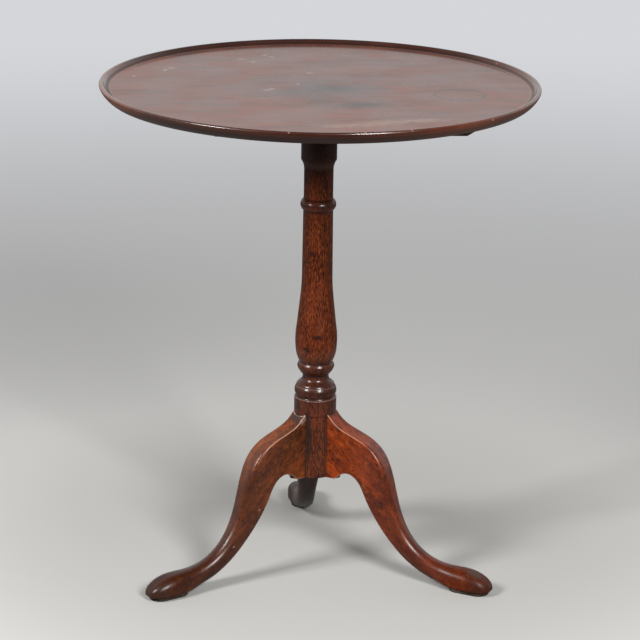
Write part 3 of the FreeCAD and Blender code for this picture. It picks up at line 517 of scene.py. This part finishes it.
# white scuffs: middle, half length and turn
SCUFFS = ((-213, 113, 7, 50), (-204, 126, 6, 10), (-101, 189, 8, -40), (-85, 168, 7, -30),
          (-64, 217, 9, 40), (-55, 203, 6, -45), (-75, -20, 9, 8), (-68, -12, 6, 25),
          (-8, 91, 7, 20), (-30, 18, 5, 0), (-258, 72, 4, 60))
SCUFF_WIDTH = 2.6
SCUFF_DEPTH = 8
for x, y, long, turn in SCUFFS:
    scuff = spot(tree, place, (x, y, FIELD), (long, SCUFF_WIDTH, SCUFF_DEPTH), share=0.8, ragged=1.9,
                 core=0.2, turn=turn, grit=4.5)
    stain(tray_wood, scuff, "#d6c3b8")
# broken rings left by cups: middle, radius and share
CUP_RINGS = ((189, -54, 35, 1.0), (-32, 95, 26, 0.6), (-46, -88, 28, 0.6))
CUP_RING_WIDTH = 3.0
for x, y, radius, share in CUP_RINGS:
    from_middle = add(tree, "VectorMath", {0: flat_place, 1: (x / 1000, y / 1000, 0)},
                      operation="DISTANCE").outputs["Value"]
    ring = band(tree, from_middle, radius, CUP_RING_WIDTH, share)
    stain(tray_wood, fade(tree, haze, 0.36, 0.54, within=ring), "#1c1110")
# dirt in the cove, a rubbed line round the field and a worn crest: reach, spread, share and colour
RIM_LINES = ((FIELD_EDGE + 4.5, 4.8, 0.75, "#2a140c"), (FIELD_EDGE, 0.9, 0.5, "#b58f74"),
             (EDGE - 3, 4.5, 0.4, "#8e4a26"))
for middle, spread, share, colour in RIM_LINES:
    stain(tray_wood, band(tree, reach, middle, spread, share), colour)
# painted shade on the lip and the face along the front, and old wax all over the rim at the back, in metres
RIM_STARTS = (FIELD_EDGE / 1000, (FIELD_EDGE + 3) / 1000)
LIP_STARTS = ((EDGE - 9) / 1000, (EDGE - 6) / 1000)
FACE_STARTS = ((FIELD - 0.3) / 1000, (FIELD - 2.0) / 1000)
FRONT_SHADE_STARTS = (-0.29, -0.24)
FRONT_SHADE_THINS = (0.0, 0.2)
BACK_STARTS = (0.05, 0.2)
on_rim = fade(tree, reach, *RIM_STARTS)
# where the front is painted with shade: little at the far left end, full in the middle and half to the right
front = fade(tree, to_right, *FRONT_SHADE_STARTS, 0.1, 1.0, within=fade(tree, to_right, *FRONT_SHADE_THINS, 1.0, 0.5))
for shade_and_wax in (fade(tree, reach, *LIP_STARTS, 0.0, 0.85, within=front),
              fade(tree, height, *FACE_STARTS, 0.0, 0.8, within=front),
              fade(tree, to_back, *BACK_STARTS, 0.0, 0.75, within=on_rim)):
    stain(tray_wood, shade_and_wax, "#2a1109")
# chips knocked out of the rim
CHIPS = ((266, 138, 714), (-237, -190, 716), (114, 283, 715), (35, -304, 715), (-64, -300, 716),
         (212, -223, 713), (54, 300, 716), (97, -290, 715))
CHIP_SIZE = (2.2, 2.2, 2.8)
for centre in CHIPS:
    stain(tray_wood, spot(tree, place, centre, CHIP_SIZE, share=0.65, ragged=1.0, core=0.2), "#b8937a")
# the underside was never polished: dry and brown, with its grain showing
BARE_BELOW = ((UNDERSIDE + 0.6) / 1000, (UNDERSIDE + 0.1) / 1000)
bare = fade(tree, height, *BARE_BELOW)
stain(tray_wood, fade(tree, height, *BARE_BELOW, 0.0, 0.75), "#5a4130")
stain(tray_wood, fade(tree, haze, 0.45, 0.68, 0.0, 0.6, within=bare), "#38251a")
stain(tray_wood, fade(tree, hairs, 0.58, 0.7, 0.0, 0.6, within=bare), "#22150f")
stain(tray_wood, fade(tree, tray_wood["streak"], 0.5, 0.7, 0.0, 0.5, within=bare), "#2e1d14")
# the polish is thick on the crest and thin on the face below it
GLOSS_STARTS = ((CREST - 5) / 1000, (CREST - 3.2) / 1000)
rim_gloss = fade(tree, height, *GLOSS_STARTS, 0.1, 1.0)
tray_gloss = add(tree, "Mix", {0: on_rim, 2: 0.5, 3: rim_gloss}).outputs[0]
tray_finish = polished(tray_wood, roughness=0.3, coat=tray_gloss, coat_roughness=0.12, specular=0.5,
                       depth=0.02)
dress(tray, "tray_top", tray_finish, "top", angle=30.0)


# Bearers: two battens of plain hardwood on edge, chamfered at their ends and screwed up into the tray from
# below. Stained dark to match and hardly polished, with the screw heads sunk.
bearer_wood = hardwood("stained_hardwood_bearer", "#3a1f14", "#6a3f28", ALONG_X, pore_share=0.4)
bearer_finish = polished(bearer_wood, roughness=0.5, coat=0.1, coat_roughness=0.3)
for side in ("front", "back"):
    batten = copy_of("bearer_" + side, "bearer_" + side + "_batten")
    ease(batten, edge=1.0)
    dress(batten, "bearer_" + side, bearer_finish, "top")
dress(copy_of("bearer_screws", "bearer_screws_set"), "bearer_screws", steel, "top")


# Catch: a brass case screwed under the tray holds a sliding bolt with a turned finger knob, pushed out by a
# bent flat spring of blued steel, blue-grey with brown freckles. Its nose snaps under the keeper.
for node, body in (("catch_case", "top"), ("catch_bolt", "catch")):
    piece = copy_of(node, node + "_brass")
    ease(piece, edge=0.3)
    dress(piece, node, brass, body)
dress(copy_of("catch_screws", "catch_screws_set"), "catch_screws", brass, "top")
dress(copy_of("catch_knob", "catch_knob_turned"), "catch_knob", brass, "catch")
spring = metal("blued_spring_steel", "#3d4048", "#54473c", roughness=0.3, freckle=3)
dress(copy_of("catch_spring", "catch_spring_bent"), "catch_spring", spring, "top")


# Floor: pale grey paper, rolled out under the table and a long way behind it, where it is lit by itself.
# Dull and even; the polish sees it darker, and past its front edge a dark room.
FLOOR_RADIUS = 16
FLOOR_LEVEL = -0.0002
bpy.ops.object.select_all(action="DESELECT")
bpy.ops.mesh.primitive_circle_add(vertices=96, radius=FLOOR_RADIUS, fill_type="NGON",
                                  location=(0, 0, FLOOR_LEVEL))
floor = bpy.context.active_object
floor.name = "floor"
# distances from the table, in metres, over which the paper changes
DARK_ROOM = (-0.4, -0.95)
PALER = (0.3, 0.75)
SELF_LIT = (0.4, 4.0)
paper = surface("grey_paper_floor", "#8c8b89")
tree = paper["tree"]
away = add(tree, "VectorMath", {0: paper["place"]}, operation="LENGTH").outputs["Value"]
to_back = add(tree, "SeparateXYZ", {0: paper["place"]}).outputs[1]
sight = add(tree, "LightPath").outputs["Is Camera Ray"]
stain(paper, fade(tree, to_back, *DARK_ROOM, 0.0, 0.85), "#262626")
seen_paper = {"tree": tree, "colour": linear("#c8c7c3")}
stain(seen_paper, fade(tree, away, *PALER), "#dddcd9")
stain(paper, sight, seen_paper["colour"])
shader = tree.nodes["Principled BSDF"]
plug(tree, shader, {"Base Color": paper["colour"], "Roughness": 0.9, "Specular IOR Level": 0.1})
glow = add(tree, "Emission", {"Color": linear("#d5d6da"), "Strength": 1.0}).outputs[0]
far = fade(tree, away, *SELF_LIT, within=sight)
sweep = add(tree, "MixShader", {0: far, 1: shader.outputs[0], 2: glow}).outputs[0]
plug(tree, tree.nodes["Material Output"], {"Surface": sweep})
floor.data.materials.append(paper["material"])


# Light: two soft boxes at the front, left and right, in a room that is pale behind the table and dark
# before it. The camera sees an even pale wall.
TABLE_MIDDLE = Vector((0, 0, 0.45))


def soft_box(name, stand, width, watts):
    """A square soft box that faces the middle of the table."""
    bpy.ops.object.light_add(type="AREA", location=stand)
    lamp = bpy.context.active_object
    lamp.name = name
    lamp.rotation_euler = (TABLE_MIDDLE - Vector(stand)).to_track_quat("-Z", "Y").to_euler()
    lamp.data.size = width
    lamp.data.energy = watts


soft_box("soft_box_left", (-1.96, -1.09, 1.8), width=0.7, watts=49)
soft_box("soft_box_right", (0.92, -2.32, 1.78), width=0.8, watts=66)
WALL_BEFORE = 0.09
WALL_BEHIND = 0.6
CEILING = 0.15
SEEN_WALL = 0.66
world = bpy.data.worlds.new("grey_room")
bpy.context.scene.world = world
world.use_nodes = True
tree = world.node_tree
heading = add(tree, "SeparateXYZ", {0: add(tree, "TexCoord").outputs["Generated"]}).outputs
wall = fade(tree, heading[1], -0.5, 0.6, WALL_BEFORE, WALL_BEHIND)
room = add(tree, "Mix", {0: fade(tree, heading[2], 0.35, 0.9), 2: wall, 3: CEILING}).outputs[0]
sight = add(tree, "LightPath").outputs["Is Camera Ray"]
level = add(tree, "Mix", {0: sight, 2: room, 3: SEEN_WALL}).outputs[0]
plug(tree, tree.nodes["Background"], {"Color": (1, 1, 1, 1), "Strength": level})


# Camera: on a stand 3.8 m in front of the table, a little to its left and 1.5 m up. It has a long lens and
# is tipped down at the table.
STAND_AWAY = 3.8239
STAND_UP = 1.5445
STAND_TURN = math.radians(-4.634)
PITCH = math.radians(17.079)
ROLL = math.radians(0.931)
YAW = math.radians(-0.075)
bpy.ops.object.camera_add()
camera = bpy.context.active_object
camera.data.lens = 157.5
camera.data.sensor_width = 36
stand = Matrix.Rotation(STAND_TURN, 4, "Z") @ Matrix.Translation((0, -STAND_AWAY, STAND_UP))
aim = Matrix.Rotation(YAW, 4, "Z") @ Matrix.Rotation(math.radians(90) - PITCH, 4, "X")
camera.matrix_world = stand @ aim @ Matrix.Rotation(ROLL, 4, "Z")
bpy.context.scene.camera = camera
bpy.context.scene.view_settings.view_transform = "Standard"
